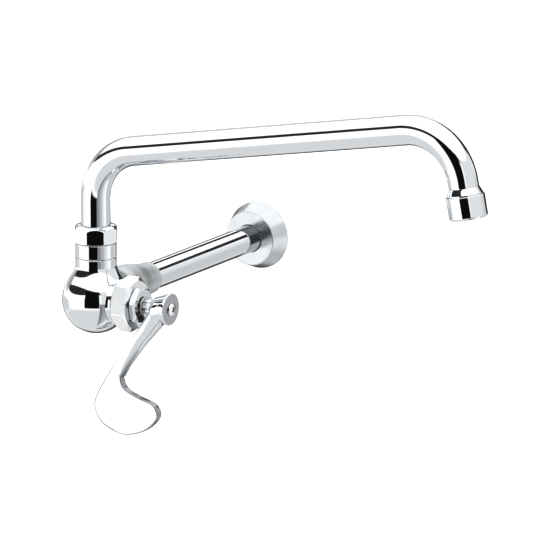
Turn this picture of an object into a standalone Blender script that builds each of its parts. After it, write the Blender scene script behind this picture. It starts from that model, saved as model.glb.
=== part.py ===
"""Wall-mounted swing-spout tap with a wrist-blade lever, one inlet.

Frame: the origin is on the inlet pipe's axis at the wall face. +Y points into the wall,
+Z is up, and the lever's stem points along +X. The spout is modelled parallel to the wall.
All sizes are in metres.
"""
import math

import bmesh
import bpy
from mathutils import Matrix, Vector
from mathutils.geometry import interpolate_bezier

# Driving dimensions
GAP = 0.0003                    # clearance between pieces that touch
PROJECTION = 0.237              # wall face to the riser's axis
STEM_DROP = 0.001               # the stem's axis lies this far below the pipe's axis
BALL_RADIUS = 0.0253            # ball of the valve body
PIPE_RADIUS = 0.020955 / 2      # G 1/2 pipe
PIPE_BORE = 0.0080
PIPE_WALL_STUB = 0.020          # threaded end that goes into the wall
PIPE_START = 0.056              # pipe's end inside the body, from the riser's axis

TUBE_RADIUS = 0.011             # 22 mm spout tube
TUBE_BORE = 0.0095
ARM_HEIGHT = 0.1088             # where the arm's axis meets the riser's axis
ARM_RISE = math.radians(10.0)   # arm's slope
OUTLET_TILT = math.radians(11.0)
BEND_RADIUS = 0.040
CORNER_REACH = 0.299            # riser's axis to the outlet's corner
OUTLET_DROP = 0.0494            # corner to the top of the nozzle, along the outlet

BONNET_FLATS = 0.036            # large hexagon of the headwork
GLAND_FLATS = 0.025             # small hexagon
SWIVEL_FLATS = 0.031            # octagon of the spout's nut
BONNET_TURN = math.radians(12.0)
GLAND_TURN = math.radians(16.5)

HUB_RADIUS = 0.012
HUB_ROOT_RADIUS = 0.0072
HUB_START = 0.0500              # along the stem, from the riser's axis
HUB_END = 0.0646
BLADE_HALF = 0.00325            # half thickness of the blade's paddle
BLADE_ROOT_HALF = 0.0072        # half thickness of the arm where it meets the hub
BLADE_THICKENS_ABOVE = -0.053   # below this height the blade keeps its thickness
ARM_FULL_ABOVE = -0.0165        # above this height the arm has its full depth

ROUND = 28                      # sides of a visible round piece
SMALL = 16                      # sides of a small or hidden round piece
BODY_SIDES = 32                 # sides of the casting's shapes
BORE_SIDES = 20                 # sides of the casting's bores


def clear_scene():
    for thing in list(bpy.data.objects):
        bpy.data.objects.remove(thing, do_unlink=True)


def make_material(name, colour, metallic, roughness):
    material = bpy.data.materials.new(name)
    material.use_nodes = True
    shader = material.node_tree.nodes["Principled BSDF"]
    shader.inputs["Base Color"].default_value = (*colour, 1.0)
    shader.inputs["Metallic"].default_value = metallic
    shader.inputs["Roughness"].default_value = roughness
    material.diffuse_color = (*colour, 1.0)
    return material


def make_axis(name, location, rotation):
    """An empty whose local Z is the axis that turned pieces stand on."""
    empty = bpy.data.objects.new(name, None)
    empty.location = location
    empty.rotation_euler = rotation
    bpy.context.scene.collection.objects.link(empty)
    return empty


def add_object(name, bm, axis, material):
    bmesh.ops.recalc_face_normals(bm, faces=bm.faces)
    if bm.calc_volume(signed=True) < 0:
        bmesh.ops.reverse_faces(bm, faces=bm.faces)
    mesh = bpy.data.meshes.new(name)
    bm.to_mesh(mesh)
    bm.free()
    thing = bpy.data.objects.new(name, mesh)
    bpy.context.scene.collection.objects.link(thing)
    thing.parent = axis
    if material is not None:
        mesh.materials.append(material)
    mesh.shade_smooth()
    mesh.set_sharp_from_angle(angle=math.radians(35))
    return thing


def turned(name, outline, axis, material=None, sides=ROUND):
    """A closed outline of (radius, height) points spun about the axis."""
    bm = bmesh.new()
    points = [bm.verts.new((radius, 0.0, height)) for radius, height in outline]
    edges = [bm.edges.new(pair) for pair in zip(points, points[1:] + points[:1])]
    bmesh.ops.spin(bm, geom=points + edges, axis=(0, 0, 1), cent=(0, 0, 0),
                   steps=sides, angle=2 * math.pi, use_merge=True)
    bmesh.ops.remove_doubles(bm, verts=bm.verts, dist=1e-6)
    bmesh.ops.dissolve_degenerate(bm, edges=bm.edges, dist=1e-7)
    return add_object(name, bm, axis, material)


def o_ring(name, radius, section, height, axis, material):
    """A rubber ring with an eight-sided section."""
    outline = []
    for k in range(8):
        angle = math.radians(22.5 + 45 * k)
        outline.append((radius + section * math.cos(angle), height + section * math.sin(angle)))
    return turned(name, outline, axis, material, SMALL)


def prism(name, sides, flats, bottom, top, axis, turn=0.0):
    """A regular prism, given by its size across flats."""
    bm = bmesh.new()
    bmesh.ops.create_cone(bm, cap_ends=True, segments=sides,
                          radius1=flats / 2 / math.cos(math.pi / sides),
                          radius2=flats / 2 / math.cos(math.pi / sides), depth=top - bottom)
    place = Matrix.Translation((0, 0, (top + bottom) / 2)) @ Matrix.Rotation(turn, 4, "Z")
    bmesh.ops.transform(bm, matrix=place, verts=bm.verts)
    return add_object(name, bm, axis, None)


def box(name, low, high, axis, turn=0.0):
    bm = bmesh.new()
    bmesh.ops.create_cube(bm, size=1.0)
    low, high = Vector(low), Vector(high)
    size = high - low
    scale = Matrix.Diagonal((size.x, size.y, size.z, 1.0))
    place = Matrix.Rotation(turn, 4, "Z") @ Matrix.Translation((low + high) / 2) @ scale
    bmesh.ops.transform(bm, matrix=place, verts=bm.verts)
    return add_object(name, bm, axis, None)


def rod(name, radius, start, end, axis, sides=SMALL):
    """A plain round cutter between two points of the axis's own frame."""
    bm = bmesh.new()
    start, end = Vector(start), Vector(end)
    bmesh.ops.create_cone(bm, cap_ends=True, segments=sides, radius1=radius, radius2=radius,
                          depth=(end - start).length)
    tilt = (end - start).to_track_quat("Z", "Y").to_matrix().to_4x4()
    bmesh.ops.transform(bm, matrix=Matrix.Translation((start + end) / 2) @ tilt, verts=bm.verts)
    return add_object(name, bm, axis, None)


def combine(thing, other, operation):
    """Unites, subtracts or intersects, and hides the second shape."""
    other.hide_render = True
    other.display_type = "WIRE"
    step = thing.modifiers.new(other.name, "BOOLEAN")
    step.operation = operation
    step.solver = "EXACT"
    step.object = other


def spout_route():
    """Centre-line of the spout tube in the plane of the riser and the arm.

    Returns (point, direction) pairs, from the ferrule up the riser, along the arm and down.
    """
    up = Vector((0, 0, 1))
    along = Vector((math.cos(ARM_RISE), 0, math.sin(ARM_RISE)))
    down = Vector((math.sin(OUTLET_TILT), 0, -math.cos(OUTLET_TILT)))
    first = Vector((0, 0, ARM_HEIGHT))
    second = Vector((CORNER_REACH, 0, ARM_HEIGHT + CORNER_REACH * math.tan(ARM_RISE)))

    route = [(Vector((0, 0, TUBE_FOOT)), up)]
    for corner, arriving, leaving, steps in ((first, up, along, 9), (second, along, down, 10)):
        turn = arriving.angle(leaving)
        start = corner - arriving * BEND_RADIUS * math.tan(turn / 2)
        inward = (leaving - arriving * arriving.dot(leaving)).normalized()
        centre = start + inward * BEND_RADIUS
        for k in range(steps + 1):
            angle = turn * k / steps
            point = centre - inward * BEND_RADIUS * math.cos(angle)
            point += arriving * BEND_RADIUS * math.sin(angle)
            route.append((point, arriving * math.cos(angle) + inward * math.sin(angle)))
    route.append((second + down * (OUTLET_DROP + TUBE_END), down))
    return route


def swept_tube(name, route, outer, inner, sides, axis, material):
    """A hollow tube along a route that lies in the XZ plane."""
    bm = bmesh.new()
    skins = []
    for radius in (outer, inner):
        rings = []
        for point, direction in route:
            side = Vector((0, 1, 0)).cross(direction)
            ring = []
            for k in range(sides):
                angle = 2 * math.pi * k / sides
                offset = side * math.cos(angle) + Vector((0, 1, 0)) * math.sin(angle)
                ring.append(bm.verts.new(point + offset * radius))
            rings.append(ring)
        skins.append(rings)
    for rings in skins:
        for lower, upper in zip(rings, rings[1:]):
            join_rings(bm, lower, upper)
    for end in (0, -1):
        join_rings(bm, skins[0][end], skins[1][end])
    return add_object(name, bm, axis, material)


def join_rings(bm, first, second):
    count = len(first)
    for k in range(count):
        after = (k + 1) % count
        bm.faces.new((first[k], first[after], second[after], second[k]))


# Wall end: the slip flange, the pipe and the strainer. Heights run into the wall.

FLANGE_DEPTH = 0.0148
FLANGE_FRONT_RADIUS = 0.0212
FLANGE_BACK_RADIUS = 0.0262
FLANGE_BORE = PIPE_RADIUS + 0.0004


def wall_flange(axis, chrome, rubber):
    groove_low, groove_high, groove_radius = -0.0100, -0.0080, 0.0122
    turned("wall_flange", [
        (FLANGE_BORE, -FLANGE_DEPTH), (FLANGE_FRONT_RADIUS - 0.0006, -FLANGE_DEPTH),
        (FLANGE_FRONT_RADIUS, -FLANGE_DEPTH + 0.0005), (FLANGE_BACK_RADIUS - 0.0002, -0.0012),
        (FLANGE_BACK_RADIUS, -0.0005), (FLANGE_BACK_RADIUS, 0.0), (0.0222, 0.0),
        (0.0184, -0.0118), (0.0136, -0.0118), (0.0136, -0.0060), (FLANGE_BORE, -0.0060),
        (FLANGE_BORE, groove_high), (groove_radius, groove_high),
        (groove_radius, groove_low), (FLANGE_BORE, groove_low)], axis, chrome, ROUND)
    o_ring("flange_o_ring", FLANGE_BORE + 0.0006, 0.0006, (groove_low + groove_high) / 2,
           axis, rubber)


def inlet_pipe(axis, chrome, steel):
    start = -PROJECTION + PIPE_START
    turned("inlet_pipe", [
        (PIPE_BORE, start), (PIPE_RADIUS, start), (PIPE_RADIUS, PIPE_WALL_STUB - 0.001),
        (PIPE_RADIUS - 0.001, PIPE_WALL_STUB), (PIPE_BORE, PIPE_WALL_STUB)], axis, chrome, ROUND)
    strainer = turned("inlet_strainer", [
        (0, 0.0162), (0.0077, 0.0162), (0.0077, 0.0174), (0, 0.0174)], axis, steel, SMALL)
    for k in range(6):
        angle = math.radians(60 * k + 5)
        centre = (0.0046 * math.cos(angle), 0.0046 * math.sin(angle))
        hole = rod("strainer_hole_%d" % (k + 1), 0.0014, (*centre, 0.015), (*centre, 0.019), axis, 8)
        combine(strainer, hole, "DIFFERENCE")


# Valve body: one casting. Heights of each turned shape run along its own axis from the
# point where the riser's axis crosses the pipe's axis.

NECK_RADIUS = 0.01535
NECK_TOP = 0.0313
BOSS_END = 0.0206
SOCKET_END = 0.0740
SOCKET_SHOULDER = 0.0542
CHAMBER_RADIUS = 0.0110


def valve_body(riser, stem, branch, brass_chrome, rubber):
    ball = turned("valve_body", ball_outline(), riser, brass_chrome, BODY_SIDES)
    tail = turned("body_tail", [
        (0, 0.004), (0.0175, 0.004), (0.0172, 0.034), (0.0159, 0.047), (0.0134, 0.058),
        (0.0122, 0.068), (0.0120, SOCKET_END - 0.0010), (0.0114, SOCKET_END), (0, SOCKET_END)],
        branch, None, BODY_SIDES)
    neck = turned("body_neck", [
        (0, 0.004), (0.0200, 0.010), (0.0168, 0.0205), (NECK_RADIUS, 0.0245),
        (NECK_RADIUS, NECK_TOP), (0, NECK_TOP)], riser, None, BODY_SIDES)
    boss = turned("body_boss", [
        (0, 0.004), (0.0165, 0.004), (0.0165, BOSS_END), (0, BOSS_END)], stem, None, BODY_SIDES)
    for shape in (tail, neck, boss):
        combine(ball, shape, "UNION")

    chamber = turned("chamber_bore", [
        (0, -0.009), (0.0045, -0.009), (0.0045, 0.004), (CHAMBER_RADIUS, 0.004),
        (CHAMBER_RADIUS, BOSS_END), (0.0200, BOSS_END), (0.0200, 0.030), (0, 0.030)],
        stem, None, BORE_SIDES)
    outlet = turned("neck_bore", [
        (0, 0.014), (0.0095, 0.014), (0.0095, 0.0205), (0.0115, 0.0205), (0.0115, 0.036),
        (0, 0.036)], riser, None, BORE_SIDES)
    inlet = turned("tail_bore", [
        (0, 0.013), (0.0075, 0.013), (0.0075, SOCKET_SHOULDER),
        (PIPE_RADIUS + GAP, SOCKET_SHOULDER), (PIPE_RADIUS + GAP, 0.080), (0, 0.080)],
        branch, None, BORE_SIDES)
    gallery = rod("inlet_gallery", 0.0045, (0, 0.017, 0), (-0.008, -0.001, -0.001), riser, 12)
    port = rod("outlet_port", 0.0024, (0.0073, 0, 0.0035), (0.0073, 0, 0.0155), riser, 12)
    for bore in (chamber, outlet, inlet, gallery, port):
        combine(ball, bore, "DIFFERENCE")

    turned("pipe_seal", [
        (0.0080, SOCKET_SHOULDER + GAP), (0.0103, SOCKET_SHOULDER + GAP),
        (0.0103, PIPE_START - GAP), (0.0080, PIPE_START - GAP)], branch, rubber, SMALL)


def ball_outline():
    """Half circle from pole to pole, for a ball centred on the stem's axis."""
    steps = 14
    outline = []
    for k in range(steps + 1):
        angle = math.pi * k / steps
        radius = BALL_RADIUS * math.sin(angle) if 0 < k < steps else 0.0
        outline.append((radius, BALL_RADIUS * math.cos(angle) - STEM_DROP))
    return outline


# Headwork: ceramic cartridge, bonnet, gland and stem. Heights run along the stem.

STEM_RADIUS = 0.0055
STEM_BORE = 0.0062


def cartridge(stem, brass, ceramic, rubber):
    turned("seat_seal", [(0.0055, 0.0043), (0.0090, 0.0043), (0.0090, 0.0063), (0.0055, 0.0063)],
           stem, rubber, SMALL)
    sleeve = turned("cartridge_sleeve", [
        (0.0085, 0.0066), (0.0104, 0.0066), (0.0104, 0.0163), (0.0085, 0.0163)],
        stem, brass, SMALL)
    window = box("sleeve_window", (-0.013, -0.003, 0.0098), (0.013, 0.003, 0.0136), stem)
    combine(sleeve, window, "DIFFERENCE")
    for name, low, high in (("fixed_disc", 0.0066, 0.0090), ("rotating_disc", 0.0093, 0.0117)):
        disc = turned(name, [(0, low), (0.0082, low), (0.0082, high), (0, high)],
                      stem, ceramic, SMALL)
        for side in (-1, 1):
            centre = (0, side * 0.0042)
            hole = rod("%s_port_%d" % (name, side + 2), 0.0021, (*centre, low - 0.001),
                       (*centre, high + 0.001), stem, 12)
            combine(disc, hole, "DIFFERENCE")


def bonnet(stem, chrome, ptfe):
    turned("bonnet_ring", [
        (0.0114, BOSS_END + GAP), (0.0172, BOSS_END + GAP), (0.0177, BOSS_END + 0.0009),
        (0.0177, 0.0225), (0.0172, 0.0230), (0.0114, 0.0230)], stem, chrome)
    body = turned("bonnet_nut", [
        (STEM_BORE, 0.0166), (0.0106, 0.0166), (0.0106, 0.0233), (0.0186, 0.0233),
        (0.0209, 0.0246), (0.0209, 0.0342), (0.0182, 0.0355), (0.0095, 0.0355),
        (0.0095, 0.0376), (STEM_BORE, 0.0376)], stem, chrome)
    combine(body, prism("bonnet_hexagon", 6, BONNET_FLATS, 0.010, 0.045, stem, BONNET_TURN),
            "INTERSECT")
    gland = turned("gland_nut", [
        (0.0098, 0.0358), (0.0129, 0.0358), (0.0146, 0.0367), (0.0146, 0.0397),
        (0.0122, 0.0410), (STEM_BORE, 0.0410), (STEM_BORE, 0.0390), (0.0098, 0.0390)],
        stem, chrome)
    combine(gland, prism("gland_hexagon", 6, GLAND_FLATS, 0.030, 0.045, stem,
                         GLAND_TURN + math.radians(30)), "INTERSECT")
    turned("gland_packing", [
        (STEM_RADIUS + GAP, 0.0379), (0.0094, 0.0379), (0.0094, 0.0387),
        (STEM_RADIUS + GAP, 0.0387)], stem, ptfe, SMALL)


def valve_stem(stem, brass, rubber, steel):
    groove = 0.0043
    turned("valve_stem", [
        (0, 0.0120), (0.0082, 0.0120), (0.0082, 0.0150), (STEM_RADIUS, 0.0150),
        (STEM_RADIUS, 0.0196), (groove, 0.0196), (groove, 0.0216), (STEM_RADIUS, 0.0216),
        (STEM_RADIUS, 0.0264), (groove, 0.0264), (groove, 0.0284), (STEM_RADIUS, 0.0284),
        (STEM_RADIUS, 0.0416), (groove, 0.0416), (groove, 0.0430), (0.0052, 0.0430),
        (0.0052, 0.0590), (0.0023, 0.0590), (0.0023, 0.0475), (0, 0.0475)], stem, brass, SMALL)
    o_ring("stem_o_ring_inner", 0.00525, 0.00065, 0.0206, stem, rubber)
    o_ring("stem_o_ring_outer", 0.00525, 0.00065, 0.0274, stem, rubber)
    clip = turned("stem_circlip", [
        (groove + GAP, 0.04195), (0.0070, 0.04195), (0.0070, 0.04265), (groove + GAP, 0.04265)],
        stem, steel, SMALL)
    combine(clip, box("circlip_gap", (0.003, -0.0016, 0.041), (0.009, 0.0016, 0.0445), stem),
            "DIFFERENCE")


# Lever: a cast hub with a blade whose plane holds the stem's axis.

def blade_outline():
    """Side view of the blade as (distance along the stem, height) points of a smooth curve.

    The arm slants back towards the body; the paddle then curls outwards again.
    """
    knots = [(0.0500, -0.0030), (0.0280, -0.0318), (0.0085, -0.0585), (-0.0016, -0.0785),
             (0.0040, -0.0930), (0.0220, -0.1000), (0.0420, -0.0952), (0.0543, -0.0830),
             (0.0510, -0.0742), (0.0370, -0.0695), (0.0257, -0.0642), (0.0226, -0.0550),
             (0.0325, -0.0420), (0.0510, -0.0190), (0.0600, 0.0000)]
    tension = 0.30
    outline = []
    for k in range(len(knots) - 1):
        before = Vector(knots[max(k - 1, 0)])
        start, end = Vector(knots[k]), Vector(knots[k + 1])
        after = Vector(knots[min(k + 2, len(knots) - 1)])
        reach = (end - start).length * tension
        leave = start + (end - before).normalized() * reach
        arrive = end - (after - start).normalized() * reach
        outline += [tuple(p)[:2] for p in interpolate_bezier(start, leave, arrive, end, 5)[:-1]]
    outline.append(knots[-1])
    return outline


def lever_handle(stem, pivot, chrome):
    hub = turned("lever_handle", [
        (0, HUB_START), (HUB_ROOT_RADIUS, HUB_START), (HUB_RADIUS, 0.0633),
        (HUB_RADIUS, HUB_END - 0.0007), (HUB_RADIUS - 0.0007, HUB_END), (0, HUB_END)],
        stem, chrome)
    bm = bmesh.new()
    slope = (BLADE_ROOT_HALF - BLADE_HALF) / (ARM_FULL_ABOVE - BLADE_THICKENS_ABOVE)
    faces = []
    for side in (-1, 1):
        ring = []
        for x, z in blade_outline():
            half = min(BLADE_ROOT_HALF, BLADE_HALF + slope * max(0.0, z - BLADE_THICKENS_ABOVE))
            ring.append(bm.verts.new((x, side * half, z + STEM_DROP)))
        faces.append(ring)
        bm.faces.new(ring)
    join_rings(bm, *faces)
    bmesh.ops.triangulate(bm, faces=[face for face in bm.faces if len(face.verts) > 4])
    blade = add_object("lever_blade", bm, pivot, None)
    combine(hub, blade, "UNION")
    socket = turned("lever_socket", [
        (0, HUB_START - 0.007), (0.0055, HUB_START - 0.007), (0.0055, 0.0600),
        (0.0026, 0.0600), (0.0026, HUB_END + 0.001), (0, HUB_END + 0.001)], stem, None, SMALL)
    combine(hub, socket, "DIFFERENCE")


def handle_screw(stem, steel):
    seat = HUB_END + GAP
    screw = turned("handle_screw", [
        (0, 0.0500), (0.0020, 0.0500), (0.0020, seat), (0.0047, seat), (0.0046, seat + 0.0009),
        (0.0036, seat + 0.0017), (0.0020, seat + 0.0021), (0, seat + 0.0022)], stem, steel, SMALL)
    for k in range(2):
        slot = box("cross_recess_%d" % (k + 1), (-0.0021, -0.00055, seat + 0.0007),
                   (0.0021, 0.00055, seat + 0.0030), stem, math.radians(20 + 90 * k))
        combine(screw, slot, "DIFFERENCE")


# Spout joint on top of the body. Heights run up the riser.

COLLAR_TOP = 0.0424
TUBE_FOOT = 0.0529
FERRULE_RADIUS = 0.0087


def spout_joint(riser, chrome, rubber, ptfe):
    turned("adapter_washer", [
        (0.0098, 0.0208), (0.0112, 0.0208), (0.0112, 0.0220), (0.0098, 0.0220)],
        riser, rubber, SMALL)
    turned("spout_adapter", [
        (0.0093, 0.0223), (0.0112, 0.0223), (0.0112, NECK_TOP + GAP),
        (NECK_RADIUS, NECK_TOP + GAP), (NECK_RADIUS, COLLAR_TOP), (0.0126, COLLAR_TOP),
        (0.0126, 0.0501), (0.0093, 0.0501)], riser, chrome)
    nut = turned("swivel_nut", [
        (0.0129, COLLAR_TOP + GAP), (0.0156, COLLAR_TOP + GAP), (0.0170, 0.0437),
        (0.0170, 0.0511), (0.0154, 0.0536), (0.0134, 0.0554), (0.0113, 0.0560),
        (0.0113, 0.0543), (0.0129, 0.0543)], riser, chrome)
    combine(nut, prism("swivel_octagon", 8, SWIVEL_FLATS, 0.040, 0.060, riser,
                       math.radians(8.0)), "INTERSECT")
    turned("glide_ring", [(0.0113, 0.0529), (0.0126, 0.0529), (0.0126, 0.0540), (0.0113, 0.0540)],
           riser, ptfe, SMALL)


def spout_ferrule(riser, brass, rubber):
    groove = 0.0073
    turned("spout_ferrule", [
        (0.0065, 0.0260), (FERRULE_RADIUS, 0.0260), (FERRULE_RADIUS, 0.0290), (groove, 0.0290),
        (groove, 0.0310), (FERRULE_RADIUS, 0.0310), (FERRULE_RADIUS, 0.0340), (groove, 0.0340),
        (groove, 0.0360), (FERRULE_RADIUS, 0.0360), (FERRULE_RADIUS, 0.0504), (0.0125, 0.0504),
        (0.0125, 0.0526), (0.0092, 0.0526), (0.0092, 0.0600), (0.0065, 0.0600)],
        riser, brass, SMALL)
    o_ring("spout_o_ring_lower", 0.0083, 0.0007, 0.0300, riser, rubber)
    o_ring("spout_o_ring_upper", 0.0083, 0.0007, 0.0350, riser, rubber)


# Outlet. Heights run down the outlet's axis from the top of the nozzle shell.

TUBE_END = -0.0058
NOZZLE_RADIUS = 0.0140
NOZZLE_LENGTH = 0.0168


def outlet(axis, chrome, plastic, rubber, steel):
    turned("outlet_nipple", [
        (0.0080, -0.0098), (0.0091, -0.0098), (0.0091, TUBE_END + GAP), (0.0110, TUBE_END + GAP),
        (0.0114, -0.0045), (0.0129, -0.0010), (0.0129, -GAP), (0.0123, -GAP),
        (0.0123, 0.0075), (0.0080, 0.0075)], axis, chrome)
    turned("nozzle_shell", [
        (0.0126, 0.0), (0.0134, 0.0), (NOZZLE_RADIUS, 0.0006), (NOZZLE_RADIUS, 0.0150),
        (0.0131, NOZZLE_LENGTH), (0.0104, NOZZLE_LENGTH), (0.0104, 0.0150), (0.0126, 0.0150)],
        axis, chrome)
    turned("aerator_gasket", [
        (0.0095, 0.0078), (0.0123, 0.0078), (0.0123, 0.0093), (0.0095, 0.0093)],
        axis, rubber, SMALL)
    turned("aerator_screen", [(0, 0.0080), (0.0092, 0.0080), (0.0092, 0.0086), (0, 0.0086)],
           axis, steel, SMALL)
    insert = turned("aerator_insert", [
        (0, 0.0096), (0.0123, 0.0096), (0.0123, 0.0147), (0.0101, 0.0147), (0.0101, 0.0162),
        (0, 0.0162)], axis, plastic, SMALL)
    for k in range(8):
        angle = math.radians(45 * k + 5)
        centre = (0.0068 * math.cos(angle), 0.0068 * math.sin(angle))
        hole = rod("aerator_hole_%d" % (k + 1), 0.0016, (*centre, 0.009), (*centre, 0.017), axis, 8)
        combine(insert, hole, "DIFFERENCE")


def main():
    clear_scene()
    chrome = make_material("polished_chrome", (0.86, 0.87, 0.88), 1.0, 0.06)
    brass = make_material("turned_brass", (0.80, 0.62, 0.32), 1.0, 0.30)
    steel = make_material("stainless_steel", (0.72, 0.72, 0.70), 1.0, 0.25)
    ceramic = make_material("alumina_ceramic", (0.90, 0.89, 0.85), 0.0, 0.25)
    rubber = make_material("nitrile_rubber", (0.03, 0.03, 0.03), 0.0, 0.70)
    ptfe = make_material("ptfe", (0.92, 0.92, 0.90), 0.0, 0.45)
    plastic = make_material("acetal", (0.85, 0.86, 0.86), 0.0, 0.40)

    quarter = math.radians(90)
    centre = (0.0, -PROJECTION, 0.0)
    wall = make_axis("wall_axis", (0, 0, 0), (-quarter, 0, 0))
    branch = make_axis("branch_axis", centre, (-quarter, 0, 0))
    riser = make_axis("riser_axis", centre, (0, 0, 0))
    stem = make_axis("stem_axis", (0.0, -PROJECTION, -STEM_DROP), (0, quarter, 0))
    pivot = make_axis("lever_pivot", (0.0, -PROJECTION, -STEM_DROP), (0, 0, 0))
    down = Vector((math.sin(OUTLET_TILT), 0, -math.cos(OUTLET_TILT)))
    corner = Vector((CORNER_REACH, -PROJECTION, ARM_HEIGHT + CORNER_REACH * math.tan(ARM_RISE)))
    mouth = make_axis("outlet_axis", corner + down * OUTLET_DROP,
                      (0, math.pi - OUTLET_TILT, 0))

    wall_flange(wall, chrome, rubber)
    inlet_pipe(wall, chrome, steel)
    valve_body(riser, stem, branch, chrome, rubber)
    cartridge(stem, brass, ceramic, rubber)
    bonnet(stem, chrome, ptfe)
    valve_stem(stem, brass, rubber, steel)
    lever_handle(stem, pivot, chrome)
    handle_screw(stem, steel)
    spout_joint(riser, chrome, rubber, ptfe)
    spout_ferrule(riser, brass, rubber)
    swept_tube("spout_tube", spout_route(), TUBE_RADIUS, TUBE_BORE, SMALL + 2, riser, chrome)
    outlet(mouth, chrome, plastic, rubber, steel)
    bpy.context.view_layer.update()


main()
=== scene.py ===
"""Wall-mounted swing-spout tap with a wrist-blade lever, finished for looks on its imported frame.

Frame: +Y points into the wall, +Z is up, the lever's stem points along +X. Sizes are in metres.
"""
import itertools
import math

import bpy
import numpy as np
from mathutils import Matrix, Vector


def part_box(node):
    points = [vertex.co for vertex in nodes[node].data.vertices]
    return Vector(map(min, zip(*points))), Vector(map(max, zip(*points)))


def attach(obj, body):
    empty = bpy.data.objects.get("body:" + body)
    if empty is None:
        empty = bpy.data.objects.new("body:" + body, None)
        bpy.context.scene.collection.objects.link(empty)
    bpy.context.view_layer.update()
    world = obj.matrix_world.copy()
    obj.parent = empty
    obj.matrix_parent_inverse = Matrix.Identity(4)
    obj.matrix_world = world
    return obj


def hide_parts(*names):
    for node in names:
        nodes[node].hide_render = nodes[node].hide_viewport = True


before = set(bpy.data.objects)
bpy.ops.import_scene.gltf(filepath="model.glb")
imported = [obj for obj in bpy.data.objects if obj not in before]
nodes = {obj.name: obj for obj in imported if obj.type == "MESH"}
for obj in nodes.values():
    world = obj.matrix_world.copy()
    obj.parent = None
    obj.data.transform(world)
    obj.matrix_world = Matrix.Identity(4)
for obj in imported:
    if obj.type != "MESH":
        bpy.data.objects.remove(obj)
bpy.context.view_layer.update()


# Wall flange: a cup turned from brass bar, polished and chromium plated. It slips along the
# pipe to cover the hole in the wall, and the rubber ring in its neck holds it where it is left.

def linear(code):
    """An sRGB hex colour as the linear values that a shader takes."""
    parts = [int(code[k:k + 2], 16) / 255 for k in (1, 3, 5)]
    return [p / 12.92 if p <= 0.04045 else ((p + 0.055) / 1.055) ** 2.4 for p in parts] + [1.0]


def connect(tree, node, inputs):
    """Gives a node's inputs their values, or links them to the sockets that feed them."""
    for name, value in inputs.items():
        if isinstance(value, bpy.types.NodeSocket):
            tree.links.new(value, node.inputs[name])
        else:
            node.inputs[name].default_value = value


def add_node(tree, kind, inputs=None, **settings):
    """Adds one node with its settings and feeds its inputs."""
    added = tree.nodes.new(kind)
    for name, value in settings.items():
        setattr(added, name, value)
    connect(tree, added, inputs or {})
    return added


def start_finish(name):
    """A new material, its node tree, and the node that gives its patterns their place."""
    material = bpy.data.materials.new(name)
    material.use_nodes = True
    return material, material.node_tree, add_node(material.node_tree, "ShaderNodeTexCoord")


def surface(material, inputs):
    """Gives the inputs of a material's surface their values or sockets."""
    connect(material.node_tree, material.node_tree.nodes["Principled BSDF"], inputs)


def softened(corners, steps=5):
    """Rounds the (across, along, radius) corners of a profile and keeps its straights straight."""
    path = []
    for k, (across, along, radius) in enumerate(corners):
        here = Vector((across, along))
        if radius == 0:
            path.append(here)
            continue
        back = (Vector(corners[k - 1][:2]) - here).normalized()
        ahead = (Vector(corners[(k + 1) % len(corners)][:2]) - here).normalized()
        half = back.angle(ahead) / 2
        centre = here + (back + ahead).normalized() * radius / math.sin(half)
        reach = radius / math.tan(half)
        start, end = here + back * reach - centre, here + ahead * reach - centre
        path.append(centre + start + back * radius * 0.15)
        for step in range(steps + 1):
            spoke = start.normalized().slerp(end.normalized(), step / steps)
            path.append(centre + spoke * radius)
        path.append(centre + end + ahead * radius * 0.15)
    return [(p[0], p[1]) for p in path]


def make_piece(name, points, faces, material, stand=Matrix.Identity(4)):
    """A smooth mesh object from points given in the frame of its own axis."""
    mesh = bpy.data.meshes.new(name)
    mesh.from_pydata([stand @ Vector(p) for p in points], [], faces)
    mesh.validate()
    mesh.shade_smooth()
    mesh.set_sharp_from_angle(angle=math.radians(32))
    if material is not None:
        mesh.materials.append(material)
    piece = bpy.data.objects.new(name, mesh)
    bpy.context.scene.collection.objects.link(piece)
    return piece


def turned(name, outline, stand, material, sides=128, shift=None):
    """A closed (radius, height) outline spun about the stand's Z axis.

    shift(angle, radius, height) may return another radius, for a thread or for splines.
    """
    points, rows = [], []
    for radius, height in outline:
        if radius < 1e-7:
            rows.append([len(points)] * sides)
            points.append((0.0, 0.0, height))
            continue
        row = []
        for k in range(sides):
            angle = 2 * math.pi * k / sides
            reach = shift(angle, radius, height) if shift else radius
            row.append(len(points))
            points.append((reach * math.cos(angle), reach * math.sin(angle), height))
        rows.append(row)
    faces = []
    for low, high in zip(rows, rows[1:] + rows[:1]):
        if low[0] == low[1] and high[0] == high[1]:
            continue
        for k in range(sides):
            after = (k + 1) % sides
            corners = (low[k], low[after], high[after], high[k])
            faces.append(tuple(dict.fromkeys(corners)))
    area = sum(a[0] * b[1] - b[0] * a[1] for a, b in zip(outline, outline[1:] + outline[:1]))
    if area < 0:
        faces = [face[::-1] for face in faces]
    return make_piece(name, points, faces, material, stand)


wall_stand = Matrix.Rotation(math.radians(-90), 4, "X")
flange_low, flange_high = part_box("wall_flange")
flange_depth = -flange_low.y
flange_back = flange_high.x
flange_front = 0.0212
flange_bore = 0.01088

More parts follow.
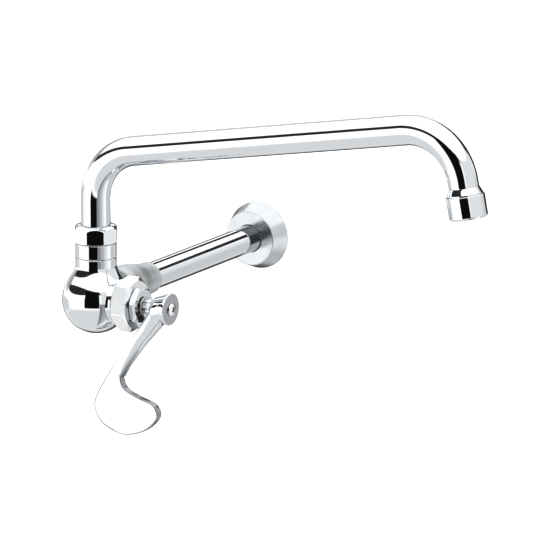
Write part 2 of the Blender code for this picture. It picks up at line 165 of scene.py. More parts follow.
# Chromium plate on buffed brass: a bluish mirror. Buffing leaves waves 10 to 15 mm long that
# bend straight reflections a little, and a haze of wiping marks about 0.5 mm apart.
chrome, tree, place = start_finish("chromium_plate_on_buffed_brass")
waves = add_node(tree, "ShaderNodeTexNoise", {
    "Vector": place.outputs["Object"], "Scale": 1 / 0.012, "Detail": 1.0, "Roughness": 0.4})
wiping = add_node(tree, "ShaderNodeTexNoise", {
    "Vector": place.outputs["Object"], "Scale": 1 / 0.0005, "Detail": 2.0})
haze = add_node(tree, "ShaderNodeMapRange", {
    "Value": wiping.outputs["Fac"], "From Min": 0.35, "From Max": 0.7,
    "To Min": 0.035, "To Max": 0.065})
buffed = add_node(tree, "ShaderNodeBump", {
    "Height": waves.outputs["Fac"], "Distance": 0.00003, "Strength": 1.0})
surface(chrome, {"Base Color": linear("#CCCFD2"), "Metallic": 1.0,
    "Roughness": haze.outputs["Result"], "Normal": buffed.outputs["Normal"]})

# Chromium plate on spun brass, with painted shade: its base colour is painted a darker grey that
# stands in for the shade on the flange, and it is more satin than the tap.
shaded_spun_chrome, tree, place = start_finish("chromium_plate_on_spun_brass_painted_shade")
smears = add_node(tree, "ShaderNodeTexNoise", {
    "Vector": place.outputs["Object"], "Scale": 1 / 0.010, "Detail": 2.0})
# Painted shade: the flange's chrome gets a grey base colour instead of the tap's brighter one.
painted_shade_grey = add_node(tree, "ShaderNodeMix", {
    "Factor": smears.outputs["Fac"], 6: linear("#BDC0C2"), 7: linear("#ACAFB2")},
    data_type="RGBA")
spun_satin = add_node(tree, "ShaderNodeMapRange", {
    "Value": smears.outputs["Fac"], "To Min": 0.16, "To Max": 0.28})
surface(shaded_spun_chrome, {"Base Color": painted_shade_grey.outputs[2], "Metallic": 1.0,
    "Roughness": spun_satin.outputs["Result"]})

flange_shell = turned("flange_shell", softened([
    (flange_bore, -flange_depth, 0.0004), (flange_front, -flange_depth, 0.0010),
    (flange_back, -0.0010, 0.0005), (flange_back, 0.0, 0.0002), (0.0222, 0.0, 0.0002),
    (0.0184, -0.0118, 0.0008), (0.0136, -0.0118, 0.0005), (0.0136, -0.0060, 0.0005),
    (flange_bore, -0.0060, 0.0003), (flange_bore, -0.0080, 0), (0.0122, -0.0080, 0),
    (0.0122, -0.0100, 0), (flange_bore, -0.0100, 0)]), wall_stand, shaded_spun_chrome)
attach(flange_shell, "slip_flange")
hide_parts("wall_flange")

# Nitrile rubber, moulded: matt black with a fine grain and a faint bloom of sulphur on it.
rubber, tree, place = start_finish("moulded_nitrile_rubber")
bloom = add_node(tree, "ShaderNodeTexNoise", {
    "Vector": place.outputs["Object"], "Scale": 1 / 0.002, "Detail": 4.0})
black = add_node(tree, "ShaderNodeMix", {
    "Factor": bloom.outputs["Fac"], 6: linear("#17181A"), 7: linear("#26272A")},
    data_type="RGBA")
grain = add_node(tree, "ShaderNodeTexNoise", {
    "Vector": place.outputs["Object"], "Scale": 1 / 0.0003, "Detail": 2.0})
moulded = add_node(tree, "ShaderNodeBump", {
    "Height": grain.outputs["Fac"], "Distance": 0.00002})
surface(rubber, {"Base Color": black.outputs[2], "Roughness": 0.62,
    "Normal": moulded.outputs["Normal"]})
nodes["flange_o_ring"].material_slots[0].material = rubber


# Inlet pipe: drawn G 1/2 brass pipe, chromium plated like the rest, with a thread of 14 turns
# to the inch rolled on the end that goes into the wall, where the whole tap hangs.

pipe_low, pipe_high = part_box("inlet_pipe")
pipe_radius = pipe_high.x
pipe_bore = 0.0080
pipe_start = pipe_low.y
pipe_end = pipe_high.y
thread_pitch = 0.001814
thread_depth = 0.00116
thread_start = 0.0012


def pipe_thread(angle, radius, height):
    """The thread's rounded V groove, which fades out towards the wall face."""
    if radius < pipe_radius - 0.0012 or height < thread_start:
        return radius
    turn = (height / thread_pitch - angle / (2 * math.pi)) % 1.0
    groove = 0.5 - 0.5 * math.cos(2 * math.pi * turn)
    fade = min(1.0, (height - thread_start) / 0.002)
    return radius - thread_depth * fade * groove ** 0.8


rows = np.linspace(thread_start, pipe_end - 0.0010, 110)
supply_pipe = turned("supply_pipe", [
    (pipe_bore, pipe_start), (pipe_radius, pipe_start), (pipe_radius, -0.001)]
    + [(pipe_radius, float(row)) for row in rows]
    + [(pipe_radius - 0.0010, pipe_end), (pipe_bore, pipe_end)],
    wall_stand, chrome, 96, pipe_thread)
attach(supply_pipe, "fixed")
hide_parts("inlet_pipe")


# Inlet strainer: a disc punched from stainless sheet and pressed into the pipe's end, with
# holes that keep grit out of the ceramic discs.

def stock(name, low, high, stand):
    """A block or a bar that only cuts another piece and is then thrown away."""
    points = list(itertools.product(*zip(low, high)))
    faces = [(0, 1, 3, 2), (4, 6, 7, 5), (0, 4, 5, 1), (2, 3, 7, 6), (0, 2, 6, 4), (1, 5, 7, 3)]
    return make_piece(name, points, faces, None, stand)


def cut(piece, tools, operation="DIFFERENCE"):
    """Cuts the tools out of a piece for good, or joins them to it."""
    for tool in tools:
        step = piece.modifiers.new(tool.name, "BOOLEAN")
        step.operation = operation
        step.solver = "EXACT"
        step.object = tool
    worked = piece.evaluated_get(bpy.context.evaluated_depsgraph_get())
    mesh = bpy.data.meshes.new_from_object(worked)
    piece.modifiers.clear()
    old, piece.data = piece.data, mesh
    name = old.name
    bpy.data.meshes.remove(old)
    mesh.name = name
    mesh.set_sharp_from_angle(angle=math.radians(32))
    for tool in tools:
        spare = tool.data
        bpy.data.objects.remove(tool)
        bpy.data.meshes.remove(spare)
    return piece


# Stainless steel, cold rolled: grey with fine straight rolling lines about 0.2 mm apart.
steel, tree, place = start_finish("cold_rolled_stainless_steel")
stretch = add_node(tree, "ShaderNodeMapping", {
    "Vector": place.outputs["Object"], "Scale": (1 / 0.0002, 1 / 0.004, 1 / 0.0002)})
lines = add_node(tree, "ShaderNodeTexNoise", {
    "Vector": stretch.outputs["Vector"], "Scale": 1.0, "Detail": 3.0})
grey = add_node(tree, "ShaderNodeMix", {
    "Factor": lines.outputs["Fac"], 6: linear("#A9A8A5"), 7: linear("#C4C3BF")},
    data_type="RGBA")
rolled = add_node(tree, "ShaderNodeMapRange", {
    "Value": lines.outputs["Fac"], "To Min": 0.18, "To Max": 0.36})
surface(steel, {"Base Color": grey.outputs[2], "Metallic": 1.0,
    "Roughness": rolled.outputs["Result"]})

strainer_low, strainer_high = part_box("inlet_strainer")
strainer_plate = turned("strainer_plate", [
    (0, strainer_low.y), (0.0077, strainer_low.y), (0.0077, strainer_high.y),
    (0, strainer_high.y)], wall_stand, steel, 64)
punches = []
for ring_radius, count in ((0.0, 1), (0.0025, 6), (0.0050, 12)):
    for k in range(count):
        angle = math.radians(360 * k / count + 5)
        punch = turned("punch_%d_%d" % (count, k), [
            (0, 0.015), (0.00085, 0.015), (0.00085, 0.019), (0, 0.019)], wall_stand, None, 16)
        punch.data.transform(Matrix.Translation(
            (ring_radius * math.cos(angle), 0, ring_radius * math.sin(angle))))
        punches.append(punch)
cut(strainer_plate, punches)
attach(strainer_plate, "fixed")
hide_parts("inlet_strainer")


# Valve body: one brass sand casting, ground, buffed and chromium plated. The ball flows into
# a horn that takes the pipe and into a neck that takes the spout, with no seam between them.

ferrule_low, ferrule_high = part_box("spout_ferrule")
riser_y = (ferrule_low.y + ferrule_high.y) / 2
screw_low, screw_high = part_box("handle_screw")
stem_z = (screw_low.z + screw_high.z) / 2
riser_stand = Matrix.Translation((0, riser_y, 0))
branch_stand = riser_stand @ wall_stand
stem_stand = Matrix.Translation((0, riser_y, stem_z)) @ Matrix.Rotation(math.radians(90), 4, "Y")

ball_radius = 0.0253
neck_radius = 0.01535
neck_top = 0.0313
boss_radius = 0.0165
boss_end = 0.0206
horn_end = 0.0740
pipe_socket = pipe_radius + 0.0003


def eased(knots, reach, spread):
    """A table of (distance, radius) through the knots, with the kinks between them smoothed."""
    distance = np.arange(knots[0][0], reach, 0.00025)
    radius = np.interp(distance, *zip(*knots))
    window = np.hanning(2 * int(spread / 0.0005) + 3)
    half = len(window) // 2
    padded = np.concatenate([np.full(half, radius[0]), radius, np.full(half, radius[-1])])
    return distance, np.convolve(padded, window / window.sum(), "valid")


def flow(first, second, width):
    """Joins two distance fields with a fillet that is about as wide as width."""
    share = np.clip(0.5 + 0.5 * (second - first) / width, 0, 1)
    return second + (first - second) * share - width * share * (1 - share)


horn_table = eased([
    (0.004, 0.0176), (0.034, 0.0172), (0.047, 0.0159), (0.058, 0.0134), (0.068, 0.0122),
    (0.0735, 0.01195), (0.080, 0.0118)], 0.080, 0.006)
neck_table = eased([
    (0.004, 0.0206), (0.010, 0.0200), (0.0205, 0.0168), (0.0245, neck_radius),
    (0.036, neck_radius)], 0.036, 0.003)


def casting_field(points):
    """Distance to the casting's outer skin, below zero inside."""
    x, y, z = points[:, 0], points[:, 1] - riser_y, points[:, 2]
    ball = np.sqrt(x * x + y * y + (z - stem_z) ** 2) - ball_radius
    horn = np.maximum(np.hypot(x, z) - np.interp(y, *horn_table), 0.004 - y)
    neck = np.maximum(np.hypot(x, y) - np.interp(z, *neck_table), 0.004 - z)
    boss = np.maximum(np.hypot(y, z - stem_z) - boss_radius, 0.004 - x)
    return flow(flow(flow(ball, horn, 0.007), neck, 0.004), boss, 0.0015)


def steepest(field, points, reach):
    """The direction in which a field grows fastest at each point, and how fast."""
    slope = np.empty_like(points)
    for axis in range(3):
        nudge = np.zeros(3)
        nudge[axis] = reach
        slope[:, axis] = (field(points + nudge) - field(points - nudge)) / (2 * reach)
    return slope


def skinned(name, field, low, high, cell, material):
    """A closed mesh on a field's zero level, with one point in each cell that it crosses."""
    axes = [np.arange(a, b + cell, cell) for a, b in zip(low, high)]
    grid = np.stack(np.meshgrid(*axes, indexing="ij"), axis=-1)
    inside = (field(grid.reshape(-1, 3)) < 0).reshape(grid.shape[:3])
    cells = [n - 1 for n in inside.shape]
    filled = np.zeros(cells, int)
    for i, j, k in itertools.product((0, 1), repeat=3):
        filled += inside[i:i + cells[0], j:j + cells[1], k:k + cells[2]]
    crossed = (filled > 0) & (filled < 8)
    number = np.full(cells, -1)
    number[crossed] = np.arange(crossed.sum())
    points = np.array(low) + (np.argwhere(crossed) + 0.5) * cell
    for _ in range(6):
        slope = steepest(field, points, 0.00004)
        steepness = np.maximum((slope ** 2).sum(1), 0.2)
        move = slope * (field(points) / steepness)[:, None]
        length = np.maximum(np.linalg.norm(move, axis=1), 1e-12)
        points = points - move * np.minimum(1, cell / length)[:, None]
    faces = []
    for axis in range(3):
        first, second = (axis + 1) % 3, (axis + 2) % 3
        here = np.take(inside, range(cells[axis]), axis)
        beyond = np.take(inside, range(1, cells[axis] + 1), axis)
        at = np.argwhere(here != beyond)
        keep = (at[:, first] > 0) & (at[:, second] > 0)
        keep &= (at[:, first] < cells[first]) & (at[:, second] < cells[second])
        at = at[keep]
        quad = []
        for a, b in ((1, 1), (0, 1), (0, 0), (1, 0)):
            cell_at = at.copy()
            cell_at[:, first] -= a
            cell_at[:, second] -= b
            quad.append(number[tuple(cell_at.T)])
        quad = np.stack(quad, 1)
        leaving = here[tuple(at.T)]
        faces += quad[leaving].tolist() + quad[~leaving][:, ::-1].tolist()
    return make_piece(name, points.tolist(), faces, material)


def true_normals(piece, field):
    """Shades a skinned piece by its field's own slope, and leaves machined faces as they are."""
    mesh = piece.data
    points = np.empty(len(mesh.vertices) * 3)
    mesh.vertices.foreach_get("co", points)
    points = points.reshape(-1, 3)
    slope = steepest(field, points, 0.00015)
    slope /= np.maximum(np.linalg.norm(slope, axis=1), 1e-9)[:, None]
    on_skin = np.abs(field(points)) < 0.00003
    corner = np.empty(len(mesh.loops), int)
    mesh.loops.foreach_get("vertex_index", corner)
    sizes = np.empty(len(mesh.polygons), int)
    mesh.polygons.foreach_get("loop_total", sizes)
    facing = np.empty(len(mesh.polygons) * 3)
    mesh.polygons.foreach_get("normal", facing)
    facing = np.repeat(facing.reshape(-1, 3), sizes, axis=0)
    agree = (slope[corner] * facing).sum(1) > 0.8
    normals = np.where((agree & on_skin[corner])[:, None], slope[corner], 0.0)
    mesh.normals_split_custom_set(normals.tolist())


# Chromium plate over sand-cast brass: the ball and the neck are buffed bright, and behind the
# ball, where the wheel can't reach, the plate keeps the casting's soft satin.
cast, tree, place = start_finish("chromium_plate_on_sand_cast_brass")
along = add_node(tree, "ShaderNodeSeparateXYZ", {"Vector": place.outputs["Object"]})
orange_peel = add_node(tree, "ShaderNodeTexNoise", {
    "Vector": place.outputs["Object"], "Scale": 1 / 0.0025, "Detail": 2.0})
wander = add_node(tree, "ShaderNodeMath", {
    0: orange_peel.outputs["Fac"], 1: 0.004, 2: along.outputs["Y"]}, operation="MULTIPLY_ADD")
unbuffed = add_node(tree, "ShaderNodeMapRange", {
    "Value": wander.outputs[0], "From Min": riser_y + 0.012, "From Max": riser_y + 0.020,
    "To Min": 0.0, "To Max": 1.0}, interpolation_type="SMOOTHSTEP")
greyed = add_node(tree, "ShaderNodeMix", {
    "Factor": unbuffed.outputs["Result"], 6: linear("#CCCFD2"), 7: linear("#BEC1C3")},
    data_type="RGBA")
rough = add_node(tree, "ShaderNodeMapRange", {
    "Value": unbuffed.outputs["Result"], "To Min": 0.045, "To Max": 0.42})
surface(cast, {"Base Color": greyed.outputs[2], "Metallic": 1.0,
    "Roughness": rough.outputs["Result"]})

coarse = 1.0
body_casting = skinned(
    "body_casting", casting_field, (-0.0270, riser_y - 0.0270, -0.0285),
    (0.0290, riser_y + 0.0790, 0.0350), 0.0008 * coarse, cast)
cutters = [
    turned("horn_facing", [
        (0, horn_end), (0.0113, horn_end), (0.0125, horn_end - 0.0011),
        (0.0300, horn_end - 0.0011), (0.0300, 0.090), (0, 0.090)], branch_stand, None),
    turned("neck_facing", [
        (0, neck_top), (0.0151, neck_top), (0.0156, neck_top - 0.0005),
        (0.0300, neck_top - 0.0005), (0.0300, 0.045), (0, 0.045)], riser_stand, None),
    turned("boss_facing", [
        (0, boss_end), (0.0350, boss_end), (0.0350, 0.040), (0, 0.040)], stem_stand, None),
    turned("chamber_bore", [
        (0, -0.009), (0.0045, -0.009), (0.0045, 0.004), (0.0110, 0.004), (0.0110, 0.024),
        (0, 0.024)], stem_stand, None, 48),
    turned("neck_bore", [
        (0, 0.014), (0.0095, 0.014), (0.0095, 0.0205), (0.0115, 0.0205), (0.0115, 0.036),
        (0, 0.036)], riser_stand, None, 64),
    turned("horn_bore", [
        (0, 0.013), (0.0075, 0.013), (0.0075, 0.0542), (pipe_socket, 0.0542),
        (pipe_socket, 0.080), (0, 0.080)], branch_stand, None, 64)]
gallery_way = Vector((-0.008, -0.018, -0.001))
gallery_stand = (Matrix.Translation((0, riser_y + 0.017, 0))
                 @ gallery_way.to_track_quat("Z", "Y").to_matrix().to_4x4())
cutters.append(turned("gallery_bore", [
    (0, 0), (0.0045, 0), (0.0045, gallery_way.length), (0, gallery_way.length)],
    gallery_stand, None, 24))
cutters.append(turned("port_bore", [
    (0, 0.0035), (0.0024, 0.0035), (0.0024, 0.0155), (0, 0.0155)],
    Matrix.Translation((0.0073, riser_y, 0)), None, 24))
cut(body_casting, cutters)
true_normals(body_casting, casting_field)
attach(body_casting, "fixed")
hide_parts("valve_body")
nodes["pipe_seal"].material_slots[0].material = rubber


# Cartridge: two lapped alumina discs in a brass sleeve on a rubber seat. The lower disc stays
# in the body, the upper one turns with the stem and opens the way from one to the other.

# Free-cutting brass, turned: yellow with fine feed rings about 0.15 mm apart and dull patches.
brass, tree, place = start_finish("turned_brass")
tarnish = add_node(tree, "ShaderNodeTexNoise", {
    "Vector": place.outputs["Object"], "Scale": 1 / 0.006, "Detail": 4.0})
yellow = add_node(tree, "ShaderNodeMix", {
    "Factor": tarnish.outputs["Fac"], 6: linear("#B8934C"), 7: linear("#D9BC78")},
    data_type="RGBA")
dull = add_node(tree, "ShaderNodeMapRange", {
    "Value": tarnish.outputs["Fac"], "To Min": 0.38, "To Max": 0.18})
feed = add_node(tree, "ShaderNodeTexWave", {
    "Vector": place.outputs["Object"], "Scale": 1 / 0.00015 / (2 * math.pi), "Distortion": 0.4},
    wave_type="BANDS", bands_direction="DIAGONAL")
ridged = add_node(tree, "ShaderNodeBump", {
    "Height": feed.outputs["Fac"], "Distance": 0.000008})
surface(brass, {"Base Color": yellow.outputs[2], "Metallic": 1.0,
    "Roughness": dull.outputs["Result"], "Normal": ridged.outputs["Normal"]})

# Alumina ceramic, sintered and lapped: warm white, smooth, with grey lapping specks.
ceramic, tree, place = start_finish("lapped_alumina_ceramic")
specks = add_node(tree, "ShaderNodeTexNoise", {
    "Vector": place.outputs["Object"], "Scale": 1 / 0.0006, "Detail": 3.0})
sintered = add_node(tree, "ShaderNodeMapRange", {
    "Value": specks.outputs["Fac"], "From Min": 0.55, "From Max": 0.75})
white = add_node(tree, "ShaderNodeMix", {
    "Factor": sintered.outputs["Result"], 6: linear("#EFEBE2"), 7: linear("#D3CFC6")},
    data_type="RGBA")
surface(ceramic, {"Base Color": white.outputs[2], "Roughness": 0.16, "IOR": 1.76})

nodes["seat_seal"].material_slots[0].material = rubber
nodes["cartridge_sleeve"].material_slots[0].material = brass
nodes["fixed_disc"].material_slots[0].material = ceramic
nodes["rotating_disc"].material_slots[0].material = ceramic


# Bonnet ring: a loose brass washer, turned and plated, clamped between the body's faced boss
# and the headwork's hexagon so that the plate on the casting isn't scored.

ring_low, ring_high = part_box("bonnet_ring")
ring_washer = turned("ring_washer", softened([
    (0.0114, ring_low.x, 0.0002), (0.0177, ring_low.x, 0.0006),
    (0.0177, ring_high.x, 0.0006), (0.0114, ring_high.x, 0.0002)]), stem_stand, chrome)
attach(ring_washer, "fixed")
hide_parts("bonnet_ring")


# Bonnet nut: the headwork's hexagon, milled from brass bar, chamfered on the lathe and plated.
# It screws the cartridge down into the body.

def nut(name, sides, flats, turn, edge, below, above, stand, material):
    """A nut with rounded corners; below(reach) and above(reach) give the profile's two ends.

    Each column of the mesh stands at one point of the polygon, reach away from the axis.
    """
    plan = []
    half = math.pi / sides
    centre_at = (flats / 2 - edge) / math.cos(half)
    for k in range(sides):
        middle = turn + 2 * half * k
        centre = Vector((math.cos(middle), math.sin(middle))) * centre_at
        for step in range(-3, 4):
            angle = middle + half * step / 3
            plan.append(centre + Vector((math.cos(angle), math.sin(angle))) * edge)
        side = Vector((math.cos(middle + half), math.sin(middle + half)))
        along = Vector((-side.y, side.x))
        run = centre_at * math.sin(half)
        for step in [-0.985] + [-0.9 + 0.15 * j for j in range(13)] + [0.985]:
            plan.append(side * flats / 2 + along * run * step)
    columns = []
    for spot in plan:
        reach = spot.length
        outline = softened(below(reach) + above(reach), 4)
        way = spot / reach
        columns.append([(way.x * r, way.y * r, h) for r, h in outline])
    count, tall = len(columns), len(columns[0])
    points = [p for column in columns for p in column]
    faces = []
    for c, r in itertools.product(range(count), range(tall)):
        c2, r2 = (c + 1) % count, (r + 1) % tall
        faces.append((c * tall + r, c2 * tall + r, c2 * tall + r2, c * tall + r2))
    return make_piece(name, points, faces, material, stand)


# Chromium plate over milled brass: the flats keep the cutter's satin and fine pits.
milled, tree, place = start_finish("chromium_plate_on_milled_brass")
pits = add_node(tree, "ShaderNodeTexNoise", {
    "Vector": place.outputs["Object"], "Scale": 1 / 0.0005, "Detail": 3.0})
satin = add_node(tree, "ShaderNodeMapRange", {
    "Value": pits.outputs["Fac"], "To Min": 0.14, "To Max": 0.24})
pitted = add_node(tree, "ShaderNodeBump", {
    "Height": pits.outputs["Fac"], "Distance": 0.00001})
surface(milled, {"Base Color": linear("#DFE1E3"), "Metallic": 1.0,
    "Roughness": satin.outputs["Result"], "Normal": pitted.outputs["Normal"]})

chamfer = math.tan(math.radians(30))
hexagon_low = 0.0233
hexagon_high = 0.0355
face_radius = 0.0176
bonnet_hexagon = nut(
    "bonnet_hexagon", 6, 0.036, math.radians(102), 0.0005,
    lambda reach: [
        (0.0062, 0.0166, 0), (0.0106, 0.0166, 0.0003), (0.0106, hexagon_low, 0),
        (face_radius, hexagon_low, 0.0001),
        (reach, hexagon_low + (reach - face_radius) * chamfer, 0.0001)],
    lambda reach: [
        (reach, hexagon_high - (reach - face_radius) * chamfer, 0.0001),
        (face_radius, hexagon_high, 0.0001), (0.0095, hexagon_high, 0),
        (0.0095, 0.0376, 0.0003), (0.0062, 0.0376, 0)],
    stem_stand, milled)
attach(bonnet_hexagon, "fixed")
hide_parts("bonnet_nut")


# Gland nut: a smaller plated hexagon that presses a PTFE packing ring round the stem.

# PTFE, skived from bar: waxy white and slightly see-through, with soft knife marks.
ptfe, tree, place = start_finish("skived_ptfe")
marks = add_node(tree, "ShaderNodeTexNoise", {
    "Vector": place.outputs["Object"], "Scale": 1 / 0.0012, "Detail": 2.0})
waxy = add_node(tree, "ShaderNodeMix", {
    "Factor": marks.outputs["Fac"], 6: linear("#F4F3EE"), 7: linear("#E4E3DE")},
    data_type="RGBA")
skived = add_node(tree, "ShaderNodeBump", {
    "Height": marks.outputs["Fac"], "Distance": 0.00003})
surface(ptfe, {"Base Color": waxy.outputs[2], "Roughness": 0.42, "IOR": 1.35,
    "Normal": skived.outputs["Normal"]})

gland_low = 0.0358
gland_high = 0.0410
gland_face = 0.0121
gland_hexagon = nut(
    "gland_hexagon", 6, 0.025, math.radians(136.5), 0.0005,
    lambda reach: [
        (0.0098, gland_low, 0), (gland_face, gland_low, 0.0001),
        (reach, gland_low + (reach - gland_face) * chamfer, 0.0001)],
    lambda reach: [
        (reach, gland_high - (reach - gland_face) * chamfer, 0.0001),
        (gland_face, gland_high, 0.0001), (0.0062, gland_high, 0.0002),
        (0.0062, 0.0390, 0), (0.0098, 0.0390, 0)],
    stem_stand, chrome)
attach(gland_hexagon, "fixed")
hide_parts("gland_nut")
nodes["gland_packing"].material_slots[0].material = ptfe


# Valve stem: turned brass with two rubber rings in its grooves and 20 rolled splines on its
# outer end, where the lever can be set at any of 20 angles.

spline_count = 20
spline_start = 0.0430


def splines(angle, radius, height):
    """Rounded teeth on the part of the stem that the lever's hub sits on."""
    if radius < 0.0050 or height < spline_start - 0.00001:
        return radius
    return radius - 0.00045 * (0.5 - 0.5 * math.cos(spline_count * angle))


splined_stem = turned("splined_stem", [
    (0, 0.0120), (0.0082, 0.0120), (0.0082, 0.0150), (0.0055, 0.0150), (0.0055, 0.0196),
    (0.0043, 0.0196), (0.0043, 0.0216), (0.0055, 0.0216), (0.0055, 0.0264), (0.0043, 0.0264),
    (0.0043, 0.0284), (0.0055, 0.0284), (0.0055, 0.0416), (0.0043, 0.0416), (0.0043, 0.0430),
    (0.0052, 0.0430), (0.0052, 0.0588), (0.0049, 0.0590), (0.0023, 0.0590), (0.0023, 0.0475),
    (0, 0.0475)], stem_stand, brass, 160, splines)
plated_from = 0.0300         # the stem is plated where it leaves the bonnet
splined_stem.data.materials.append(chrome)
for face in splined_stem.data.polygons:
    if face.center.x > plated_from:
        face.material_index = 1
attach(splined_stem, "lever")
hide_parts("valve_stem")
nodes["stem_o_ring_inner"].material_slots[0].material = rubber
nodes["stem_o_ring_outer"].material_slots[0].material = rubber

clip_low, clip_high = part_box("stem_circlip")
spring_clip = turned("spring_clip", softened([
    (0.0046, clip_low.x, 0), (0.0070, clip_low.x, 0.00012), (0.0070, clip_high.x, 0.00012),
    (0.0046, clip_high.x, 0)], 3), stem_stand, steel, 96)
cut(spring_clip, [stock("clip_gap", (0.003, -0.0016, 0.041), (0.009, 0.0016, 0.0445),
                        stem_stand)])
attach(spring_clip, "lever")
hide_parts("stem_circlip")


# Lever: a hub and a wrist blade cast in one piece of brass, buffed and plated. The arm leaves
# the hub as a thick rounded bar and thins into a flat paddle with rolled edges.

hub_radius = 0.012
hub_start = 0.0500
hub_end = 0.0646
hub_root = 0.0072            # the hub flares from this radius at its inner end
hub_flare = 0.36
paddle_half = 0.00325
root_half = 0.0072
thickens_above = -0.048
blade_knots = [
    (0.0500, -0.0030), (0.0280, -0.0318), (0.0085, -0.0585), (-0.0016, -0.0785),
    (0.0040, -0.0930), (0.0220, -0.1000), (0.0420, -0.0952), (0.0543, -0.0830),
    (0.0510, -0.0742), (0.0370, -0.0695), (0.0257, -0.0642), (0.0226, -0.0550),
    (0.0285, -0.0405), (0.0450, -0.0180), (0.0600, 0.0000)]
# Centre (along the stem, height) and radius of the round bar that backs the arm.
arm_bar = [(0.0540, -0.0030, 0.0092), (0.0460, -0.0150, 0.0073),
           (0.0396, -0.0232, 0.0065), (0.0325, -0.0347, 0.0050),
           (0.0256, -0.0462, 0.0038), (0.0225, -0.0530, 0.00325)]
# The bar is cut off by a sloping plane, so that it clears the bonnet's hexagon as it turns.
trim_point = (0.050, -0.003)
trim_way = (-0.795, 0.607)


def blade_curve():
    """The blade's outline as a closed run of points a fraction of a millimetre apart."""
    run = []
    for k in range(len(blade_knots) - 1):
        around = [max(k - 1, 0), k, k + 1, min(k + 2, len(blade_knots) - 1)]
        before, start, end, after = [np.array(blade_knots[j]) for j in around]
        reach = np.linalg.norm(end - start) * 0.30
        leave = start + (end - before) / np.linalg.norm(end - before) * reach
        arrive = end - (after - start) / np.linalg.norm(after - start) * reach
        for t in np.arange(24) / 24:
            run.append(start * (1 - t) ** 3 + leave * 3 * t * (1 - t) ** 2
                       + arrive * 3 * t * t * (1 - t) + end * t ** 3)
    run.append(np.array(blade_knots[-1]))
    return np.array(run)


def depth_chart(run, low, high, cell):
    """Signed distance to a closed outline, charted on a fine flat grid."""
    across = np.arange(low[0], high[0], cell)
    up = np.arange(low[1], high[1], cell)
    spots = np.stack(np.meshgrid(across, up, indexing="ij"), -1).reshape(-1, 2)
    start, end = run, np.roll(run, -1, axis=0)
    edge = end - start
    square = (edge ** 2).sum(1)
    chart = np.empty(len(spots))
    for first in range(0, len(spots), 4000):
        spot = spots[first:first + 4000, None, :]
        share = np.clip(((spot - start) * edge).sum(2) / square, 0, 1)
        off = spot - start - share[..., None] * edge
        nearest = np.sqrt((off ** 2).sum(2).min(1))
        spans = (start[:, 1] > spot[..., 1]) != (end[:, 1] > spot[..., 1])
        level = np.where(spans, (spot[..., 1] - start[:, 1]) / np.where(
            edge[:, 1] == 0, 1, edge[:, 1]), 0)
        crossing = spans & (spot[..., 0] < start[:, 0] + level * edge[:, 0])
        chart[first:first + 4000] = np.where(crossing.sum(1) % 2 == 1, -nearest, nearest)
    chart = chart.reshape(len(across), len(up))
    for axis in (0, 1):
        chart = (np.roll(chart, 1, axis) + 2 * chart + np.roll(chart, -1, axis)) / 4
    return chart


chart_low = (-0.012, -0.112)
chart_high = (0.080, 0.022)
chart_cell = 0.00025
blade_chart = depth_chart(blade_curve(), chart_low, chart_high, chart_cell)


def lever_field(points):
    """Distance to the lever's skin: the rounded blade flows into the rounded hub."""
    x, y, z = points[:, 0], points[:, 1] - riser_y, points[:, 2] - stem_z
    u = np.clip((x - chart_low[0]) / chart_cell, 1, blade_chart.shape[0] - 3)
    v = np.clip((z - chart_low[1]) / chart_cell, 1, blade_chart.shape[1] - 3)
    i, j = u.astype(int), v.astype(int)
    u, v = u - i, v - j
    inward = (blade_chart[i, j] * (1 - u) * (1 - v) + blade_chart[i + 1, j] * u * (1 - v)
              + blade_chart[i, j + 1] * (1 - u) * v + blade_chart[i + 1, j + 1] * u * v)
    growth = np.clip((z - thickens_above) / -thickens_above, 0, 1)
    growth = growth ** 1.6 * (1 + 0.6 * (1 - growth))
    half = paddle_half + (root_half - paddle_half) * growth
    outer = np.clip((0.022 - x) / 0.006, 0, 1) * np.clip((-0.045 - z) / 0.02, 0, 1)
    rolled_edge = 0.0013 + 0.0004 * growth + 0.0016 * outer
    a, b = inward + rolled_edge, np.abs(y) - (half - rolled_edge)
    blade = np.minimum(np.maximum(a, b), 0) + np.hypot(np.maximum(a, 0), np.maximum(b, 0))
    blade -= rolled_edge
    soft = 0.0007
    cone = hub_root + hub_flare * (x - hub_start)
    a = np.maximum((np.hypot(y, z) - cone) / math.hypot(1, hub_flare), np.hypot(y, z) - hub_radius)
    a = a + soft
    b = np.abs(x - (hub_start + hub_end) / 2) - ((hub_end - hub_start) / 2 - soft)
    hub = np.minimum(np.maximum(a, b), 0) + np.hypot(np.maximum(a, 0), np.maximum(b, 0))
    hub -= soft
    bar = np.full(len(points), 1.0)
    for start, end in zip(arm_bar, arm_bar[1:]):
        way_x, way_z = end[0] - start[0], end[1] - start[1]
        share = ((x - start[0]) * way_x + (z - start[1]) * way_z) / (way_x ** 2 + way_z ** 2)
        share = np.clip(share, 0, 1)
        off = np.sqrt((x - start[0] - share * way_x) ** 2 + y ** 2
                      + (z - start[1] - share * way_z) ** 2)
        bar = np.minimum(bar, off - start[2] - share * (end[2] - start[2]))
    trim = (x - trim_point[0]) * trim_way[0] + (z - trim_point[1]) * trim_way[1]
    bar = np.maximum(bar, trim)
    return flow(hub, flow(blade, bar, 0.002), 0.003)
